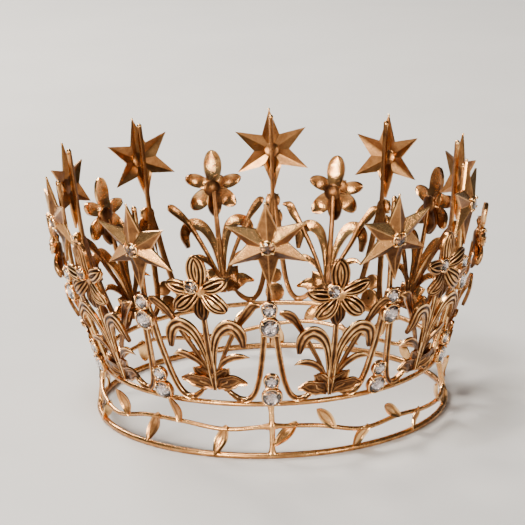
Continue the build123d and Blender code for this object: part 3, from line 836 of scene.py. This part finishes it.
def make_flower(index):
    """Six lined petals round a soft dome; local Z points outward from the panel."""
    draw = np.random.default_rng(200 + index)
    shape = Shape()
    count = 30
    s = np.linspace(0, 1, count)
    for angle, reach, width, arch, tip in PETALS:
        reach *= draw.uniform(0.97, 1.03)
        outline = np.sin(np.pi * (0.1 + 0.9 * s**1.3)) ** 0.5
        widths = np.maximum(width * outline, 0.15)
        rise = smooth_line(np.array([1.0, 1.2 + arch, 1.5 + arch, 1.3 + tip])[:, None], count)[:, 0]
        sway = draw.uniform(-0.5, 0.5) * np.sin(s * np.pi)
        line = np.stack([sway, PETAL_START + (reach - PETAL_START) * s, rise], 1)
        # the lowest petal hangs and faces down, so it is painted darker as painted shade; the others differ
        # at random
        shade = np.full(count, 0.55 if angle == LOWEST_PETAL else draw.uniform(0.85, 1.1))
        points, faces, wear = lined_blade(line, widths, PETAL, shade=shade)
        shape.add(points, faces, wear, turn_about("Z", angle - 90 + draw.uniform(-3, 3)))
    points, faces, wear = lathe(FLOWER_DOME, 32)
    shape.add(points + np.array(DOME_SHIFT), faces, wear)
    return Shape().join(shape, set_lily(index) @ panel_matrix(FLOWER_HEIGHT, FLOWER_BACK))


# ---------------------------------------------------------------- stones and cups
# a stone's table, kites and back facets as shares of its radius; the rest as shares of its diameter
STONE_TABLE = 0.56
STONE_KITES = 0.8
STONE_BACK = 0.5
STONE_CROWN = 0.15
STONE_GIRDLE = 0.04
STONE_PAVILION = 0.24
CLAWS = 4
CLAW_SAMPLES = 14


def ring_points(count, radius, height, offset=0.0):
    angle = 2 * np.pi * (np.arange(count) + offset) / count
    return np.stack([radius * np.cos(angle), radius * np.sin(angle), np.full(count, height)], 1)


def make_stone(stone, height):
    """A round cut stone with a table, kites, girdle facets and a faceted back."""
    radius, girdle = stone / 2, height - STONE_GIRDLE * stone
    top = height + STONE_CROWN * stone
    table = ring_points(8, STONE_TABLE * radius, top)
    middle = ring_points(8, STONE_KITES * radius, height + 0.62 * STONE_CROWN * stone, 0.5)
    upper = ring_points(16, radius, height)
    lower = ring_points(16, radius, girdle)
    back = ring_points(8, STONE_BACK * radius, girdle - 0.6 * STONE_PAVILION * stone, 0.5)
    culet = np.array([[0, 0, girdle - STONE_PAVILION * stone]])
    points = np.concatenate([table, middle, upper, lower, back, culet])
    t, m, u, l, b, c = 0, 8, 16, 32, 48, 56
    faces = [tuple(range(8))]
    for i in range(8):
        j, g = (i + 1) % 8, 2 * i
        faces += [(t + i, m + i, t + j), (t + j, m + i, u + (g + 2) % 16, m + j)]
        faces += [(m + i, u + g, u + g + 1), (m + i, u + g + 1, u + (g + 2) % 16)]
        faces += [(b + i, l + g, l + g + 1), (b + i, l + g + 1, l + (g + 2) % 16)]
        faces += [(c, b + i, l + (g + 2) % 16, b + j)]
    for k in range(16):
        n = (k + 1) % 16
        faces.append((u + k, u + n, l + n, l + k))
    return points, faces, np.full(len(points), 0.5)


def make_foil(stone, height):
    """A thin silvered cone just behind the stone's back."""
    gap, wall, reach = 0.05, 0.12, stone / 2 * 0.98
    girdle = height - STONE_GIRDLE * stone - gap
    deep = girdle - STONE_PAVILION * stone
    profile = [(0, deep, 0.5), (reach, girdle, 0.5), (reach, girdle - wall, 0.5), (0, deep - wall, 0.5)]
    return lathe(profile, 32)


def make_cup(stone, cup, height, prong, seed):
    """A turned cup with a rounded rim, and four claws bent over the stone's edge."""
    outer, inner = cup / 2, stone / 2 + 0.02
    floor = height - 0.34 * stone
    outside = [(0, 0.0, 0.4), (outer * 0.88, 0.0, 0.45), (outer * 0.97, 0.2, 0.5), (outer, 0.6, 0.55)]
    rim = [(outer, height - 0.35, 0.75), (outer - 0.08, height - 0.05, 0.95),
           (outer - 0.2, height + 0.08, 1.0), (inner + 0.12, height + 0.08, 0.95)]
    inside = [(inner + 0.03, height - 0.05, 0.5), (inner, height - 0.3, 0.1), (inner * 0.5, floor + 0.3, 0.1),
              (0, floor, 0.1)]
    shape = Shape().add(*lathe(outside + rim + inside, 44))
    draw = np.random.default_rng(seed)
    along = np.linspace(0, 1, CLAW_SAMPLES)
    for k in range(CLAWS):
        turn = math.radians(45 + 360 / CLAWS * k + draw.uniform(-8, 8))
        reach = np.array([outer - 0.05, outer + 0.02, outer - 0.12, outer - 0.6, outer - 1.05])
        rise = np.array([height - 0.9, height - 0.3, height + 0.35, height + 0.75, height + 0.72])
        line = smooth_line(np.stack([reach * math.cos(turn), reach * math.sin(turn), rise], 1), CLAW_SAMPLES)
        widths = 2 * prong * np.interp(along, (0, 0.2, 0.8, 0.93, 1), (0.8, 1, 1, 0.75, 0.3))
        tangent = (-math.sin(turn), math.cos(turn), 0)
        shape.add(*sweep(line, widths, round_section(10, 0.98), up=tangent, depths=widths))
    return shape


# ---------------------------------------------------------------- making every piece
def build_wires():
    base = make_ring(BASE_RADIUS, BASE_WIRE, BASE_HEIGHT, 11).piece("fine_base_ring", WIRE)
    finish_piece(base, "ring_wire", "base_ring")
    upper = make_ring(UPPER_RADIUS, UPPER_WIRE, UPPER_HEIGHT, 21).piece("fine_upper_ring", WIRE)
    finish_piece(upper, "ring_wire", "upper_ring")
    for seed, (name, azimuth) in enumerate(STRUTS.items()):
        strut = make_strut(azimuth, 31 + seed).piece(f"fine_strut_{name}", WIRE)
        finish_piece(strut, "ring_wire", f"strut_{name}")
    ends = sorted(STRUTS.values()) + [360.0]
    for seed, (name, start, end) in enumerate(zip(VINES, ends, ends[1:])):
        vine = make_vine(start, end, 41 + seed).piece(f"fine_{name}", WIRE)
        finish_piece(vine, "ring_wire", name)
    groups = (("vine_leaves_up", LEAVES_UP, True), ("vine_leaves_down", LEAVES_DOWN, False))
    for name, leaves, upward in groups:
        shape = Shape()
        for seed, (azimuth, lean, twist) in enumerate(leaves):
            shape.join(make_vine_leaf(azimuth, lean, twist, upward, 300 + seed + 50 * upward))
        finish_piece(shape.piece(f"fine_{name}", LEAF), "leaf_sheet", name)


def build_posts_and_stars():
    for index in range(REPEATS):
        post = make_post(index).piece(f"fine_star_post_{index + 1}", POST)
        finish_piece(post, "post_brass", f"star_post_{index + 1}")
        star = make_star(STAR_SETTING[index][1])
        made = Shape().join(star, set_star(index)).piece(f"fine_star_{index + 1}", STAR, 20.0)
        finish_piece(made, "star_brass", f"star_{index + 1}")


def build_lilies():
    for index in range(REPEATS):
        plant = make_plant(index).piece(f"fine_lily_plant_{index + 1}", LILY, 55.0)
        finish_piece(plant, "lily_brass", f"lily_plant_{index + 1}")
        flower = make_flower(index).piece(f"fine_lily_flower_{index + 1}", LILY, 55.0)
        finish_piece(flower, "lily_brass", f"lily_flower_{index + 1}")


def build_stones():
    groups = {"large_post": (LARGE_STONE, []), "small_post": (SMALL_STONE, []), "star": (STAR_STONE, []),
              "lily": (LILY_STONE, [])}
    for index in range(REPEATS):
        for name, spots in (("large_post", LARGE_HEIGHTS), ("small_post", SMALL_HEIGHTS)):
            groups[name][1].extend(set_post(index) @ panel_matrix(h, out) for h, out in spots)
        groups["star"][1].append(set_star(index) @ Matrix.Translation((0, 0, STAR_SEAT)))
        lily_place = set_lily(index) @ panel_matrix(FLOWER_HEIGHT, FLOWER_BACK)
        groups["lily"][1].append(lily_place @ Matrix.Translation((*LILY_GEM_SPOT, LILY_SEAT)))
    for name, ((stone, cup, height, prong), places) in groups.items():
        stones, cups, foils = Shape(), Shape(), Shape()
        for seed, place in enumerate(places):
            tip = Matrix.Rotation(rng.uniform(0, 6.3), 4, "Z")
            tip = tip @ Matrix.Rotation(rng.uniform(-0.06, 0.06), 4, "X")
            seat = place @ Matrix.Translation((0, 0, height)) @ tip @ Matrix.Translation((0, 0, -height))
            stones.add(*make_stone(stone, height), seat)
            foils.add(*make_foil(stone, height), place)
            cups.join(make_cup(stone, cup, height, prong, 500 + seed), place)
        finish_piece(stones.piece(f"fine_{name}_stones", GLASS, 1.0), "rhinestone", f"{name}_stones")
        finish_piece(cups.piece(f"fine_{name}_cups", CUP), "cup_brass", f"{name}_cups")
        finish_piece(foils.piece(f"{name}_foil_backs", FOIL), "cup_brass")


# ---------------------------------------------------------------- floor, light and camera
FLOOR_HALF = 5.0


def add_floor():
    mesh = bpy.data.meshes.new("floor")
    corners = [(x * FLOOR_HALF, y * FLOOR_HALF, 0) for x, y in ((-1, -1), (1, -1), (1, 1), (-1, 1))]
    mesh.from_pydata(corners, [], [(0, 1, 2, 3)])
    mesh.materials.append(pale_floor("pale_floor"))
    floor = bpy.data.objects.new("floor", mesh)
    bpy.context.scene.collection.objects.link(floor)


def add_softbox(name, place, size, power, colour, target=(0, 0, 0.06)):
    data = bpy.data.lights.new(name, "AREA")
    data.shape = "RECTANGLE"
    data.size, data.size_y = size
    data.energy = power
    data.color = colour
    lamp = bpy.data.objects.new(name, data)
    lamp.location = place
    lamp.rotation_euler = (Vector(target) - Vector(place)).to_track_quat("-Z", "Y").to_euler()
    bpy.context.scene.collection.objects.link(lamp)


def add_sun(name, place, strength, softness, colour):
    data = bpy.data.lights.new(name, "SUN")
    data.energy = strength
    data.angle = math.radians(softness)
    data.color = colour
    lamp = bpy.data.objects.new(name, data)
    lamp.rotation_euler = (-Vector(place)).to_track_quat("-Z", "Y").to_euler()
    bpy.context.scene.collection.objects.link(lamp)


def add_world():
    world = bpy.data.worlds.new("studio")
    world.use_nodes = True
    bpy.context.scene.world = world
    shader = world.node_tree.nodes["Background"]
    shader.inputs["Color"].default_value = (0.78, 0.8, 0.84, 1)
    shader.inputs["Strength"].default_value = 0.11


CAMERA_DISTANCE = 1.1
CAMERA_ELEVATION = 18.65
CAMERA_AZIMUTH = 0.65
CAMERA_ROLL = 1.7
CAMERA_LENS = 185.2
SENSOR_WIDTH = 36.0
AIM_RIGHT = -0.0025
AIM_UP = 0.0559


def add_camera():
    """A long lens aimed above the base ring's middle, turned a little clockwise."""
    azimuth, elevation = math.radians(CAMERA_AZIMUTH), math.radians(CAMERA_ELEVATION)
    back = Vector((math.sin(azimuth) * math.cos(elevation), -math.cos(azimuth) * math.cos(elevation),
                   math.sin(elevation)))
    right = Vector((math.cos(azimuth), math.sin(azimuth), 0))
    above = back.cross(right)
    place = back * CAMERA_DISTANCE
    ahead = (right * AIM_RIGHT + above * AIM_UP - place).normalized()
    side = ahead.cross(above).normalized()
    turned = Matrix((side, side.cross(ahead), -ahead)).transposed().to_4x4()
    data = bpy.data.cameras.new("camera")
    data.lens = CAMERA_LENS
    data.sensor_width = SENSOR_WIDTH
    data.clip_start, data.clip_end = 0.01, 50.0
    camera = bpy.data.objects.new("camera", data)
    camera.matrix_world = Matrix.Translation(place) @ turned @ turn_about("Z", -CAMERA_ROLL)
    bpy.context.scene.collection.objects.link(camera)
    bpy.context.scene.camera = camera


add_floor()
add_world()
add_sun("ceiling", (-0.35, -0.1, 1.0), 0.9, 20, (1.0, 0.98, 0.95))
add_softbox("key", (-0.75, -1.25, 0.34), (0.42, 0.35), 30.0, (1.0, 0.9, 0.74))
add_softbox("fill", (0.85, -1.15, 0.3), (0.25, 0.35), 9.0, (1.0, 0.9, 0.76))
add_softbox("top", (-0.25, -0.3, 1.2), (0.35, 0.35), 16.0, (1.0, 0.93, 0.83))
add_softbox("rim", (-0.6, 0.9, 0.75), (0.5, 0.3), 26.0, (1.0, 0.92, 0.8))
add_camera()
build_wires()
build_posts_and_stars()
build_lilies()
build_stones()
